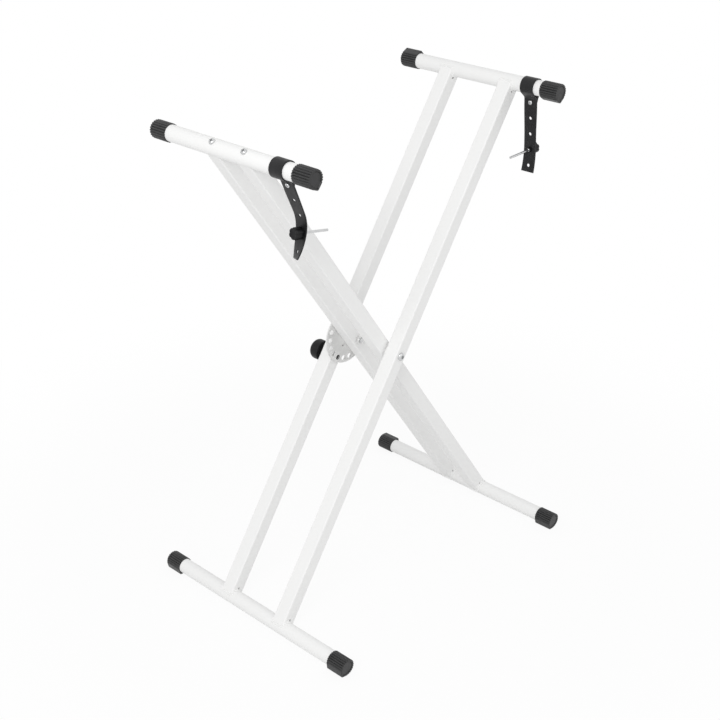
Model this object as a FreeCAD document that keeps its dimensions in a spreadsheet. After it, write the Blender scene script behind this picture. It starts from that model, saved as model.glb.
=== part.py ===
import FreeCAD, Part
import math
import os
import Sketcher
from types import SimpleNamespace

# White folding keyboard stand: two crossed tube frames on one pivot, a perforated locking disc with a sprung
# pin, and two holding straps with thumbscrews. Millimetres and degrees. +Z is up, X runs across the scissor
# and Y along the bars; front is -Y and left is -X. The origin is on the floor, below the pivot.

# Driving sizes
SIZES = {
    # Scissor and tubes
    "leg_reach": 484,  # from the pivot to the axis of a bar, along a leg
    "opening_angle": 69.5,  # between the two frames
    "foot_bar_span": 427,  # over the caps
    "top_bar_span": 328,  # over the caps
    "bar_dia": 25.4,
    "bar_wall": 1.5,
    "leg_side": 25,
    "leg_wall": 1.5,
    "leg_corner": 2.5,
    "outer_pitch": 124,  # between the axes of the outer legs
    "leg_gap": 4,  # between an outer leg and the inner leg beside it
    "weld_gap": 0.05,
    "vent_dia": 3.6,
    "vent_offset": 3.2,  # from the bar's surface to the middle of the vent
    "cut_overrun": 5,
    # End caps, each with one corner that levels the stand, at an angle from +X towards +Z
    "cap_length": 33,
    "cap_wall": 1.6,
    "cap_end": 3,
    "cap_fit": 0.05,
    "cap_corner": 3.5,  # past the round
    "cap_grooves": 17,
    "cap_groove_start_angle": 52,  # from the corner
    "groove_width": 2,
    "groove_depth": 1,
    "outer_foot_front_cap_angle": 221,
    "outer_foot_rear_cap_angle": 230,
    "outer_top_front_cap_angle": 271,
    "outer_top_rear_cap_angle": 80,
    "inner_foot_front_cap_angle": 232,
    "inner_foot_rear_cap_angle": 48,
    "inner_top_front_cap_angle": 285,
    "inner_top_rear_cap_angle": 330,
    # Pivot bolts, nuts and washers
    "bolt_dia": 8,
    "bolt_play": 0.05,  # radial, where an inner leg turns on its bolt
    "bolt_fit": 0.1,  # radial, in an outer leg
    "bolt_head_dia": 14,
    "bolt_head_height": 4.4,
    "bolt_head_rim": 1,
    "bolt_tip": 2,  # past the nut
    "socket_width": 5,
    "socket_depth": 2.4,
    "nut_width": 13,
    "nut_height": 6.5,
    "washer_dia": 22,
    "pivot_play": 0.1,  # along the bolt
    # Locking disc
    "disc_thickness": 2.5,
    "disc_rim": 4,  # from a hole to the edge
    "index_radius": 41.5,
    "index_pitch": 20,
    "index_holes": 9,
    "index_holes_past_pin": 3,
    "index_play": 0.5,  # radial, round the pin
    "tack_hole_dia": 3.2,
    "tack_hole_radius": 20,
    # Lock: guide, pin, spring and knob
    "pin_dia": 8,
    "pin_nose": 5,  # from its tip to its collar
    "pin_set_back": 0.7,  # tip behind the leg's inner face when drawn out
    "pin_clear": 0.4,  # tip short of the inner leg when let in
    "collar_step": 1.8,
    "collar_height": 2.2,
    "stop_play": 0.1,
    "slide_play": 0.1,
    "stem_dia": 6,
    "stem_depth": 12,
    "stem_fit": 0.05,
    "guide_wall": 1.5,
    "guide_end": 3,  # the wall that the spring pushes on
    "guide_stand": 0.5,  # out of the leg's outer face
    "spring_wire": 1,
    "spring_turns": 3,
    "spring_fit": 0.1,
    "knob_dia": 35,
    "knob_height": 20,
    "knob_bevel": 8,  # in two slopes
    # Screws that hold the inner top bar, and the inserts that take them
    "bar_screw_dia": 6,
    "bar_screw_head_dia": 10,
    "bar_screw_head_height": 3.4,
    "bar_screw_play": 0.2,
    "bar_screw_bite": 13,
    "insert_height": 16,
    "insert_drop": 2,
    "insert_fit": 0.1,
    "thread_fit": 0.05,
    # Straps and the screws and nuts that close them
    "strap_thickness": 1.8,
    "strap_fit": 0.3,
    "strap_throat": 5.5,  # from the bar to where the two layers meet
    "strap_neck_round": 8,
    "loop_width": 25,
    "tail_width": 23,
    "tail_holes": 4,
    "tail_spacing": 27,
    "tail_hole_dia": 5.6,
    "tail_margin": 11,
    "short_end": 6.5,  # of the inner layer, past its screw
    "left_strap_from_end": 63,
    "left_lean_angle": 23,
    "left_straight": 75,
    "left_bend_radius": 54,
    "right_strap_from_end": 58,
    "right_lean_angle": 4,
    "right_straight": 100,
    "right_bend_radius": 150,
    "strap_screw_dia": 4,
    "strap_screw_head_dia": 7.6,
    "strap_screw_head_height": 2.6,
    "strap_screw_tip": 1,
    "strap_nut_width": 7,
    "strap_nut_height": 3.2,
    # Thumbscrews
    "thumb_hole": 3,  # the tail hole that it sits in
    "thumb_dia": 18,
    "thumb_height": 14,
    "thumb_flutes": 6,
    "thumb_flute_dia": 6,
    "thumb_flute_depth": 1.2,
    "thumb_play": 0.3,
    "rod_dia": 4,
    "rod_root_dia": 5,  # through the knob, the strap and the collar
    "rod_reach": 52,
    "rod_depth": 9,
    "rod_fit": 0.05,
    "rod_collar_wall": 1.8,
    "rod_collar_length": 4,
}

# Share of a screw head's width that is left at its crown
CROWN_SHARE = 0.7

Y_AXIS = FreeCAD.Vector(0, 1, 0)
Z_AXIS = FreeCAD.Vector(0, 0, 1)
DEGREES_PER_RADIAN = 180 / math.pi
FULL_TURN = 360
HALF_TURN = 180
QUARTER_TURN = 90
HEXAGON_SIDES = 6
FRONT = -1
REAR = 1


class Size:
    """A size from the sheet, or a sum of them: its value now and the formula that ties it to the sheet."""

    def __init__(self, value, formula):
        self.value = value
        self.formula = formula

    def __add__(self, other):
        other = as_size(other)
        return Size(self.value + other.value, f"({self.formula} + {other.formula})")

    def __sub__(self, other):
        other = as_size(other)
        return Size(self.value - other.value, f"({self.formula} - {other.formula})")

    def __mul__(self, other):
        other = as_size(other)
        return Size(self.value * other.value, f"({self.formula} * {other.formula})")

    def __truediv__(self, other):
        other = as_size(other)
        return Size(self.value / other.value, f"({self.formula} / {other.formula})")

    def __neg__(self):
        return Size(-self.value, f"(-{self.formula})")

    __radd__ = __add__
    __rmul__ = __mul__

    def __rsub__(self, other):
        return as_size(other) - self


def as_size(item):
    """A size as it is, or a plain number as a size."""
    if isinstance(item, Size):
        return item
    return Size(item, f"({item!r})")


def sine(angle):
    return Size(math.sin(math.radians(angle.value)), f"sin({angle.formula})")


def cosine(angle):
    return Size(math.cos(math.radians(angle.value)), f"cos({angle.formula})")


def square_root(size):
    return Size(math.sqrt(size.value), f"sqrt({size.formula})")


# The document, and the sheet that holds the driving sizes
doc = FreeCAD.newDocument("keyboard_stand")
sheet = doc.addObject("Spreadsheet::Sheet", "Sizes")
for row, (alias, number) in enumerate(SIZES.items(), start=1):
    sheet.set(f"A{row}", alias)
    sheet.set(f"B{row}", str(number))
    sheet.setAlias(f"B{row}", alias)
doc.recompute()
s = SimpleNamespace(**{alias: Size(number, f"Sizes.{alias}") for alias, number in SIZES.items()})

# Sizes that follow from the driving ones
lean = s.opening_angle / 2
bar_radius = s.bar_dia / 2
cap_radius = bar_radius + s.cap_wall
cap_reach = cap_radius + s.cap_corner
pivot_height = cap_radius + s.leg_reach * cosine(lean)
side_reach = s.leg_reach * sine(lean)
top_height = pivot_height + s.leg_reach * cosine(lean)
inner_pitch = s.outer_pitch - (s.leg_side + s.leg_gap) * 2
outer_leg_out = (s.outer_pitch + s.leg_side) / 2
outer_leg_in = (s.outer_pitch - s.leg_side) / 2
inner_leg_out = (inner_pitch + s.leg_side) / 2
inner_leg_in = (inner_pitch - s.leg_side) / 2
turning_bore = s.bolt_dia + s.bolt_play * 2
index_hole_dia = s.pin_dia + s.index_play * 2
disc_dia = index_hole_dia + (s.index_radius + s.disc_rim) * 2
pin_travel = s.leg_gap + s.pin_set_back - s.pin_clear
chamber_dia = s.pin_dia + (s.collar_step + s.slide_play) * 2
guide_dia = chamber_dia + s.guide_wall * 2
guide_out = outer_leg_out + s.guide_stand
spring_stop = guide_out - s.guide_end
pin_tip = outer_leg_in + s.pin_set_back
collar_in = pin_tip + s.pin_nose
collar_out = collar_in + s.collar_height
knob_in = guide_out + pin_travel + s.stop_play

sub_parts = []


def value_of(item):
    return as_size(item).value


def bind(item, name, size):
    """Tie a property of an object to the sheet."""
    item.setExpression(name, as_size(size).formula)


def place(item, x, y, z, axis=None, angle=None):
    """Put an object at a point, turned about an axis by an angle, both tied to the sheet."""
    turn = FreeCAD.Rotation(axis, QUARTER_TURN) if axis else FreeCAD.Rotation()
    item.Placement = FreeCAD.Placement(FreeCAD.Vector(value_of(x), value_of(y), value_of(z)), turn)
    for letter, size in zip("xyz", (x, y, z)):
        bind(item, f"Placement.Base.{letter}", size)
    if axis:
        bind(item, "Placement.Rotation.Angle", angle)


def place_in_outer_frame(item, y=0):
    place(item, 0, y, pivot_height, Y_AXIS, lean)


def place_in_inner_frame(item, y=0):
    place(item, 0, y, pivot_height, -Y_AXIS, lean)


def new_body(label):
    return doc.addObject("PartDesign::Body", label)


def keep(item):
    """List an object among the sub-parts, under its label."""
    sub_parts.append(item)
    return item


def new_sketch(body, role, across=0, up=0, out=0):
    """A sketch on one of the body's own planes, shifted across, up and out of it."""
    sketch = body.newObject("Sketcher::SketchObject", body.Label + "_sketch")
    plane = next(feature for feature in body.Origin.OriginFeatures if feature.Role == role)
    sketch.AttachmentSupport = [(plane, "")]
    sketch.MapMode = "FlatFace"
    for letter, size in zip("xyz", (across, up, out)):
        bind(sketch, f"AttachmentOffset.Base.{letter}", size)
    return sketch


def point(corner):
    return FreeCAD.Vector(value_of(corner[0]), value_of(corner[1]), 0)


def measure(sketch, constraint, size):
    index = sketch.addConstraint(constraint)
    bind(sketch, f"Constraints[{index}]", size)


def fix(sketch, geometry, end, corner):
    """Hold one point of a sketch at its place from the sketch's origin."""
    for kind, axis, size in (("DistanceX", -2, corner[0]), ("DistanceY", -1, corner[1])):
        if isinstance(size, Size):
            measure(sketch, Sketcher.Constraint(kind, -1, 1, geometry, end, size.value), size)
        else:
            sketch.addConstraint(Sketcher.Constraint("PointOnObject", geometry, end, axis))


def draw_outline(sketch, corners, arcs=None):
    """A closed outline through the corners. A side is an arc where its first corner's number is in arcs,
    which give its centre, its radius and whether it turns left."""
    arcs = arcs or {}
    sides = []
    for number, start in enumerate(corners):
        finish = corners[(number + 1) % len(corners)]
        if number not in arcs:
            sides.append((sketch.addGeometry(Part.LineSegment(point(start), point(finish))), 1, 2))
            continue
        centre, radius, turns_left = arcs[number]
        first, last = (start, finish) if turns_left else (finish, start)
        first_angle, last_angle = (
            math.atan2(*reversed((point(end) - point(centre))[0:2])) for end in (first, last)
        )
        arc = Part.ArcOfCircle(Part.Circle(point(centre), Z_AXIS, radius.value), first_angle, last_angle)
        geometry = sketch.addGeometry(arc)
        sides.append((geometry, 1, 2) if turns_left else (geometry, 2, 1))
        measure(sketch, Sketcher.Constraint("Radius", geometry, radius.value), radius)
    for number, corner in enumerate(corners):
        geometry, start, _ = sides[number]
        before, _, finish = sides[number - 1]
        sketch.addConstraint(Sketcher.Constraint("Coincident", before, finish, geometry, start))
        fix(sketch, geometry, start, corner)


def draw_circle(sketch, x, y, dia):
    circle = sketch.addGeometry(Part.Circle(point((x, y)), Z_AXIS, dia.value / 2))
    measure(sketch, Sketcher.Constraint("Diameter", circle, dia.value), dia)
    fix(sketch, circle, 3, (x, y))


def draw_rounded_square(sketch, side, corner_radius):
    half = side / 2
    flat = half - corner_radius
    corners = [
        (-flat, -half), (flat, -half), (half, -flat), (half, flat),
        (flat, half), (-flat, half), (-half, flat), (-half, -flat),
    ]
    centres = {1: (flat, -flat), 3: (flat, flat), 5: (-flat, flat), 7: (-flat, -flat)}
    draw_outline(sketch, corners, {side: (centre, corner_radius, True) for side, centre in centres.items()})


def draw_square(sketch, side):
    half = side / 2
    draw_outline(sketch, [(-half, -half), (half, -half), (half, half), (-half, half)])


def draw_hexagon(sketch, width):
    """A regular hexagon about the sketch's origin, by its width across flats."""
    reach = width / math.sqrt(3)
    angles = [math.radians(FULL_TURN * corner / HEXAGON_SIDES) for corner in range(HEXAGON_SIDES)]
    corners = [(reach * math.cos(angle), reach * math.sin(angle)) for angle in angles]
    draw_outline(sketch, corners)


def pad(body, sketch, length, both_ways=False, reverse=False):
    feature = body.newObject("PartDesign::Pad", body.Label + "_pad")
    feature.Profile = sketch
    bind(feature, "Length", length)
    feature.SideType = "Symmetric" if both_ways else "One side"
    feature.Reversed = reverse
    return feature


def check_cut(body, before):
    """Stop where a cut has taken nothing off the body."""
    doc.recompute()
    if body.Shape.Volume >= before:
        raise RuntimeError(f"a cut in {body.Label} misses it")


def pocket(body, sketch, both_ways=True, reverse=False, depth=None):
    """Cut a sketch through the body, or to a depth."""
    doc.recompute()
    before = body.Shape.Volume
    feature = body.newObject("PartDesign::Pocket", body.Label + "_pocket")
    feature.Profile = sketch
    feature.SideType = "Symmetric" if both_ways else "One side"
    feature.Reversed = reverse
    if depth:
        feature.Type = "Length"
        bind(feature, "Length", depth)
    else:
        feature.Type = "ThroughAll"
    check_cut(body, before)
    return feature


def repeat_round(body, feature, sketch, count, angle=FULL_TURN):
    """Copy a cut round the sketch's own axis, over an angle."""
    before = body.Shape.Volume
    pattern = body.newObject("PartDesign::PolarPattern", body.Label + "_pattern")
    pattern.Originals = [feature]
    pattern.Axis = (sketch, ["N_Axis"])
    bind(pattern, "Angle", angle)
    bind(pattern, "Occurrences", count)
    body.Tip = pattern
    check_cut(body, before)


def turn_about(body, sketch, axis):
    feature = body.newObject("PartDesign::Revolution", body.Label + "_turned")
    feature.Profile = sketch
    feature.ReferenceAxis = (sketch, [axis])
    feature.Angle = FULL_TURN
    return feature


def turned_along_y(label, corners, down=0):
    """A round piece about an axis along Y, by corners (radius, y). The axis is as far down as given."""
    body = new_body(label)
    sketch = new_sketch(body, "XY_Plane", out=-as_size(down))
    draw_outline(sketch, corners)
    turn_about(body, sketch, "V_Axis")
    return body


def turned_along_x(label, corners, down=0):
    """A round piece about an axis along X, by corners (x, radius). The axis is as far down as given."""
    body = new_body(label)
    sketch = new_sketch(body, "XY_Plane", out=-as_size(down))
    draw_outline(sketch, corners)
    turn_about(body, sketch, "H_Axis")
    return body


def keep_group(label, items):
    """Several separate solids as one sub-part."""
    group = doc.addObject("Part::Compound", label)
    group.Links = items
    return keep(group)


def keep_pair(label, item):
    """A piece and its mirror image on the other side of the stand, as one sub-part."""
    image = doc.addObject("Part::Mirroring", label + "_image")
    image.Source = item
    image.Base = FreeCAD.Vector(0, 0, 0)
    image.Normal = Y_AXIS
    return keep_group(label, [item, image])


# Legs: square tube, its ends hollowed to saddle the bars, with a vent by each weld, drawn about the pivot
def make_leg(label, pivot_hole, lock_hole=None, welded_on_top=True):
    body = new_body(label)
    section = new_sketch(body, "XY_Plane", out=-s.leg_reach)
    draw_rounded_square(section, s.leg_side, s.leg_corner)
    draw_square(section, s.leg_side - s.leg_wall * 2)
    pad(body, section, s.leg_reach * 2)

    saddles = new_sketch(body, "XZ_Plane")
    saddle_dia = s.bar_dia + s.weld_gap * 2
    draw_circle(saddles, 0, -s.leg_reach, saddle_dia)
    draw_circle(saddles, 0, s.leg_reach, saddle_dia)
    pocket(body, saddles)

    holes = new_sketch(body, "XZ_Plane")
    draw_circle(holes, 0, 0, pivot_hole)
    if lock_hole:
        draw_circle(holes, 0, -s.index_radius, lock_hole)
    pocket(body, holes)

    vents = new_sketch(body, "XZ_Plane")
    vent_from_axis = bar_radius + s.vent_offset
    draw_circle(vents, 0, vent_from_axis - s.leg_reach, s.vent_dia)
    if welded_on_top:
        draw_circle(vents, 0, s.leg_reach - vent_from_axis, s.vent_dia)
    pocket(body, vents, both_ways=False, reverse=True)
    return keep(body)


# Bars: round tube, shorter than their span by the ends of the two caps
def make_bar(label, span, screwed=False):
    body = new_body(label)
    section = new_sketch(body, "XZ_Plane")
    draw_circle(section, 0, 0, s.bar_dia)
    draw_circle(section, 0, 0, s.bar_dia - s.bar_wall * 2)
    pad(body, section, span - s.cap_end * 2, both_ways=True)
    if screwed:
        holes = new_sketch(body, "XY_Plane")
        for end in (FRONT, REAR):
            draw_circle(holes, 0, inner_pitch / 2 * end, s.bar_screw_dia + s.bar_screw_play * 2)
        pocket(body, holes)
    return keep(body)


# End caps: ribbed sleeve with a closed end and one corner, drawn from its mouth with the corner along X
def make_cap(label, side):
    front = side == FRONT
    body = new_body(label)
    section = new_sketch(body, "XZ_Plane")
    touch_cosine = cap_radius / cap_reach
    touch_x = cap_radius * touch_cosine
    touch_z = cap_radius * square_root(1 - touch_cosine * touch_cosine)
    corners = [(cap_reach, 0), (touch_x, touch_z), (touch_x, -touch_z)]
    draw_outline(section, corners, {1: ((0, 0), cap_radius, True)})
    pad(body, section, s.cap_length, reverse=not front)

    bore = new_sketch(body, "XZ_Plane")
    draw_circle(bore, 0, 0, s.bar_dia + s.cap_fit * 2)
    pocket(body, bore, both_ways=False, reverse=front, depth=s.cap_length - s.cap_end)

    groove = new_sketch(body, "XZ_Plane")
    groove.AttachmentOffset = FreeCAD.Placement(FreeCAD.Vector(), FreeCAD.Rotation(Z_AXIS, QUARTER_TURN))
    bind(groove, "AttachmentOffset.Rotation.Angle", s.cap_groove_start_angle)
    half_width = s.groove_width / 2
    outside = cap_radius + s.cut_overrun
    corners = [
        (cap_radius - s.groove_depth, 0), (cap_radius, -half_width), (outside, -half_width),
        (outside, half_width), (cap_radius, half_width),
    ]
    draw_outline(groove, corners)
    cut = pocket(body, groove)
    repeat_round(body, cut, groove, s.cap_grooves, FULL_TURN - s.cap_groove_start_angle * 2)
    return body


def cap_bar(name, x, z, span):
    """Put a cap on each end of a bar, turned as it was left."""
    caps = []
    for end, side in (("front", FRONT), ("rear", REAR)):
        cap = make_cap(f"{name}_{end}_cap", side)
        corner_angle = getattr(s, f"{name}_{end}_cap_angle")
        place(cap, x, (span / 2 - s.cap_length) * side, z, -Y_AXIS, corner_angle)
        caps.append(cap)
    keep_group(f"{name}_caps", caps)


def make_frames():
    for end, side in (("front", FRONT), ("rear", REAR)):
        lock_hole = guide_dia + s.weld_gap * 2 if side == REAR else None
        leg = make_leg(f"outer_leg_{end}", s.bolt_dia + s.bolt_fit * 2, lock_hole)
        place_in_outer_frame(leg, s.outer_pitch / 2 * side)
        leg = make_leg(f"inner_leg_{end}", turning_bore, welded_on_top=False)
        place_in_inner_frame(leg, inner_pitch / 2 * side)
    bars = (
        ("outer_foot_bar", -side_reach, cap_radius, s.foot_bar_span, Y_AXIS, False),
        ("outer_top_bar", side_reach, top_height, s.top_bar_span, Y_AXIS, False),
        ("inner_foot_bar", side_reach, cap_radius, s.foot_bar_span, -Y_AXIS, False),
        ("inner_top_bar", -side_reach, top_height, s.top_bar_span, -Y_AXIS, True),
    )
    for label, x, z, span, axis, screwed in bars:
        place(make_bar(label, span, screwed), x, 0, z, axis, lean)
        cap_bar(label.removesuffix("_bar"), x, z, span)


# Pivot bolts: head on the outer leg, nut on the inner leg's inner face
def make_pivot_bolts():
    head_radius = s.bolt_head_dia / 2
    crown_radius = head_radius * CROWN_SHARE
    under_head = -outer_leg_out
    rim = under_head - s.bolt_head_rim
    crown = under_head - s.bolt_head_height
    tip = -inner_leg_in + s.pivot_play + s.nut_height + s.bolt_tip
    corners = [
        (0, crown), (crown_radius, crown), (head_radius, rim), (head_radius, under_head),
        (s.bolt_dia / 2, under_head), (s.bolt_dia / 2, tip), (0, tip),
    ]
    bolt = turned_along_y("pivot_bolt", corners)
    socket = new_sketch(bolt, "XZ_Plane", out=-crown)
    draw_hexagon(socket, s.socket_width)
    pocket(bolt, socket, both_ways=False, depth=s.socket_depth)
    place_in_outer_frame(bolt)
    keep_pair("pivot_bolts", bolt)


def make_nut(label, width, height, bore):
    """A hexagon nut that starts at the origin and stands along +Y."""
    nut = new_body(label)
    section = new_sketch(nut, "XZ_Plane")
    draw_hexagon(section, width)
    draw_circle(section, 0, 0, bore)
    pad(nut, section, height, reverse=True)
    return nut


def make_pivot_fittings():
    nut = make_nut("pivot_nut", s.nut_width, s.nut_height, s.bolt_dia + s.thread_fit * 2)
    place_in_outer_frame(nut, s.pivot_play - inner_leg_in)
    keep_pair("pivot_nuts", nut)

    washers = []
    spaces = (
        ("front_washer", -outer_leg_in, -inner_leg_out - s.pivot_play),
        ("rear_washer", inner_leg_out + s.disc_thickness + s.pivot_play, outer_leg_in),
    )
    washer_bore = s.bolt_dia / 2 + s.bolt_fit
    for label, low, high in spaces:
        edge = s.washer_dia / 2
        washer = turned_along_y(label, [(washer_bore, low), (edge, low), (edge, high), (washer_bore, high)])
        place_in_outer_frame(washer)
        washers.append(washer)
    keep_group("pivot_washers", washers)


# Locking disc: on the rear inner leg, with one of its holes over the pin
def make_lock_disc():
    disc = new_body("lock_disc")
    blank = new_sketch(disc, "XZ_Plane", out=-inner_leg_out)
    draw_circle(blank, 0, 0, disc_dia)
    draw_circle(blank, 0, 0, turning_bore)
    pin_angle = as_size(HALF_TURN + QUARTER_TURN) - s.opening_angle
    draw_circle(
        blank, s.tack_hole_radius * cosine(pin_angle), s.tack_hole_radius * sine(pin_angle), s.tack_hole_dia
    )
    pad(disc, blank, s.disc_thickness, reverse=True)
    first_hole = new_sketch(disc, "XZ_Plane")
    hole_angle = pin_angle + s.index_pitch * s.index_holes_past_pin
    hole_x = s.index_radius * cosine(hole_angle)
    hole_z = s.index_radius * sine(hole_angle)
    draw_circle(first_hole, hole_x, hole_z, index_hole_dia)
    cut = pocket(disc, first_hole)
    sweep = s.index_pitch * (s.index_holes - 1)
    repeat_round(disc, cut, first_hole, s.index_holes, -sweep)
    place_in_inner_frame(disc)
    keep(disc)


# Lock: a guide through the rear outer leg, with a sprung pin that a knob draws out
def make_lock_guide():
    chamber = chamber_dia / 2
    edge = guide_dia / 2
    bore = s.stem_dia / 2 + s.slide_play
    corners = [
        (chamber, outer_leg_in), (edge, outer_leg_in), (edge, guide_out),
        (bore, guide_out), (bore, spring_stop), (chamber, spring_stop),
    ]
    guide = turned_along_y("lock_guide", corners, down=s.index_radius)
    place_in_outer_frame(guide)
    keep(guide)


def make_lock_pin():
    nose = s.pin_dia / 2
    collar = nose + s.collar_step
    stem = s.stem_dia / 2
    end = knob_in + s.stem_depth
    corners = [
        (0, pin_tip), (nose, pin_tip), (nose, collar_in), (collar, collar_in),
        (collar, collar_out), (stem, collar_out), (stem, end), (0, end),
    ]
    pin = turned_along_y("lock_pin", corners, down=s.index_radius)
    place_in_outer_frame(pin)
    keep(pin)


def make_lock_spring():
    """A coil of square wire between the pin's collar and the guide's end wall."""
    spring = new_body("lock_spring")
    coil_radius = (s.stem_dia + chamber_dia) / 4
    start = collar_out + s.spring_wire / 2 + s.spring_fit
    wire = new_sketch(spring, "XY_Plane", out=-s.index_radius)
    half = s.spring_wire / 2
    draw_outline(wire, [
        (coil_radius - half, start - half), (coil_radius + half, start - half),
        (coil_radius + half, start + half), (coil_radius - half, start + half),
    ])
    coil = spring.newObject("PartDesign::AdditiveHelix", "lock_spring_coil")
    coil.Profile = wire
    coil.ReferenceAxis = (wire, ["V_Axis"])
    coil.Mode = "pitch-height-angle"
    height = spring_stop - collar_out - s.spring_wire - s.spring_fit * 2
    bind(coil, "Pitch", height / s.spring_turns)
    bind(coil, "Height", height)
    place_in_outer_frame(spring)
    keep(spring)


def make_lock_knob():
    out = knob_in + s.knob_height
    edge = s.knob_dia / 2
    bore = s.stem_dia / 2 + s.stem_fit
    bore_end = knob_in + s.stem_depth
    bevel_from = out - s.knob_bevel
    bevel_to = edge - s.knob_bevel
    halfway = s.knob_bevel * sine(as_size(QUARTER_TURN / 2))
    corners = [
        (0, bore_end), (bore, bore_end), (bore, knob_in), (edge, knob_in), (edge, bevel_from),
        (bevel_to + halfway, bevel_from + halfway), (bevel_to, out), (0, out),
    ]
    knob = turned_along_y("lock_knob", corners, down=s.index_radius)
    place_in_outer_frame(knob)
    keep(knob)


# Screws that hold the inner top bar, and the inserts welded into the legs' ends
def make_top_bar_screws():
    screw = new_body("top_bar_screw")
    profile = new_sketch(screw, "XZ_Plane", out=-inner_pitch / 2)
    head_radius = s.bar_screw_head_dia / 2
    crown_radius = head_radius * CROWN_SHARE
    seat = s.leg_reach + bar_radius
    crown = seat + s.bar_screw_head_height
    shank = s.bar_screw_dia / 2
    insert_top = s.leg_reach - bar_radius - s.insert_drop
    tip = insert_top - s.bar_screw_bite
    corners = [(0, tip), (shank, tip), (shank, seat), (head_radius, seat), (crown_radius, crown), (0, crown)]
    draw_outline(profile, corners)
    turn_about(screw, profile, "V_Axis")
    place_in_inner_frame(screw)
    keep_pair("top_bar_screws", screw)

    insert = new_body("leg_insert")
    block = new_sketch(insert, "XY_Plane", up=inner_pitch / 2, out=insert_top - s.insert_height)
    draw_square(block, s.leg_side - (s.leg_wall + s.insert_fit) * 2)
    draw_circle(block, 0, 0, s.bar_screw_dia + s.thread_fit * 2)
    pad(insert, block, s.insert_height)
    place_in_inner_frame(insert)
    keep_pair("leg_inserts", insert)


# Straps: a band closed round the bar, one end going on as the tail, drawn about the bar with the tail down
loop_in = bar_radius + s.strap_fit
loop_out = loop_in + s.strap_thickness
throat = loop_in + s.strap_throat
throat_sine = loop_in / throat
throat_cosine = square_root(1 - throat_sine * throat_sine)
neck_corner = (loop_out - s.strap_thickness * throat_cosine) / throat_sine
neck_tangent = s.strap_neck_round * (1 - throat_cosine) / throat_sine
neck_end = neck_corner + neck_tangent
strap_screw_at = neck_end + s.strap_screw_head_dia / 2 + s.strap_fit
tail_end = strap_screw_at + s.tail_spacing * s.tail_holes + s.tail_margin


class Strap:
    """The sizes of one strap, and where it hangs."""

    def __init__(self, side, x, from_end, lean_angle, straight, bend_radius, rod_way):
        self.side = side
        self.x = x
        self.y = from_end - s.top_bar_span / 2
        self.lean = lean_angle
        self.straight = straight
        self.bend_radius = bend_radius
        self.rod_way = rod_way

    def turn_at(self, distance):
        """How far the tail has turned at a distance from the bar, in degrees."""
        return (distance - self.straight) / self.bend_radius * DEGREES_PER_RADIAN

    def tail_point(self, distance, off_middle=0):
        """A point of the tail: its x, its z and the turn there, off the band's middle by a length."""
        middle = -s.strap_thickness / 2
        if distance.value <= self.straight.value:
            return middle + off_middle, -distance, as_size(0)
        turn = self.turn_at(distance)
        radius = self.bend_radius + off_middle
        x = middle - self.bend_radius + radius * cosine(turn)
        return x, -self.straight - radius * sine(turn), turn

    def place(self, item):
        place(item, self.x, self.y, top_height, -Y_AXIS, self.lean)

    def place_on_tail(self, item, distance):
        """Put a piece on the tail, its X square to the band there."""
        x, z, turn = self.tail_point(distance)
        at_x = self.x + x * cosine(self.lean) - z * sine(self.lean)
        at_z = top_height + x * sine(self.lean) + z * cosine(self.lean)
        place(item, at_x, self.y, at_z, -Y_AXIS, self.lean - turn)


STRAPS = (
    Strap(
        "left", -side_reach, s.left_strap_from_end, s.left_lean_angle,
        s.left_straight, s.left_bend_radius, 1,
    ),
    Strap(
        "right", side_reach, s.right_strap_from_end, s.right_lean_angle,
        s.right_straight, s.right_bend_radius, -1,
    ),
)


def draw_strap_band(sketch, strap):
    """The side view of a strap: the loop and neck outside, then the opening that the bar fills."""
    band = s.strap_thickness
    half = band / 2
    short_end = strap_screw_at + s.short_end
    side_x = loop_out * throat_cosine
    side_z = -loop_out * throat_sine
    neck_x = band + neck_tangent * throat_sine
    neck_z = neck_tangent * throat_cosine - neck_corner
    out_x, out_z, _ = strap.tail_point(tail_end, -half)
    in_x, in_z, _ = strap.tail_point(tail_end, half)
    corners = [
        (side_x, side_z), (-side_x, side_z), (-neck_x, neck_z), (-band, -neck_end),
        (-band, -strap.straight), (out_x, out_z), (in_x, in_z), (0, -strap.straight),
        (0, -short_end), (band, -short_end), (band, -neck_end), (neck_x, neck_z),
    ]
    neck_centre = band + s.strap_neck_round
    bend_centre = (-half - strap.bend_radius, -strap.straight)
    arcs = {
        0: ((0, 0), loop_out, True),
        2: ((-neck_centre, -neck_end), s.strap_neck_round, False),
        4: (bend_centre, strap.bend_radius - half, False),
        6: (bend_centre, strap.bend_radius + half, True),
        10: ((neck_centre, -neck_end), s.strap_neck_round, False),
    }
    draw_outline(sketch, corners, arcs)
    bore_x = loop_in * throat_cosine
    bore_z = -loop_in * throat_sine
    draw_outline(sketch, [(bore_x, bore_z), (-bore_x, bore_z), (0, -throat)], {0: ((0, 0), loop_in, True)})


def make_strap(strap):
    body = new_body(f"strap_{strap.side}")
    band = new_sketch(body, "XZ_Plane")
    draw_strap_band(band, strap)
    pad(body, band, s.loop_width, both_ways=True)

    shoulders = new_sketch(body, "YZ_Plane")
    top = -(strap_screw_at + s.short_end)
    bottom = -(tail_end + s.cut_overrun)
    inside = s.tail_width / 2
    outside = s.loop_width / 2 + s.cut_overrun
    draw_outline(shoulders, [(inside, bottom), (outside, bottom), (outside, top), (inside, top)])
    draw_outline(shoulders, [(-outside, bottom), (-inside, bottom), (-inside, top), (-outside, top)])
    pocket(body, shoulders)

    screw_hole = s.strap_screw_dia + s.strap_fit * 2
    drill_strap(body, 0, -strap_screw_at, as_size(0), screw_hole, s.strap_thickness * 2)
    for number in range(1, SIZES["tail_holes"] + 1):
        x, z, turn = strap.tail_point(strap_screw_at + s.tail_spacing * number)
        drill_strap(body, x, z, turn, s.tail_hole_dia, s.strap_thickness)
    strap.place(body)
    keep(body)


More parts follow.
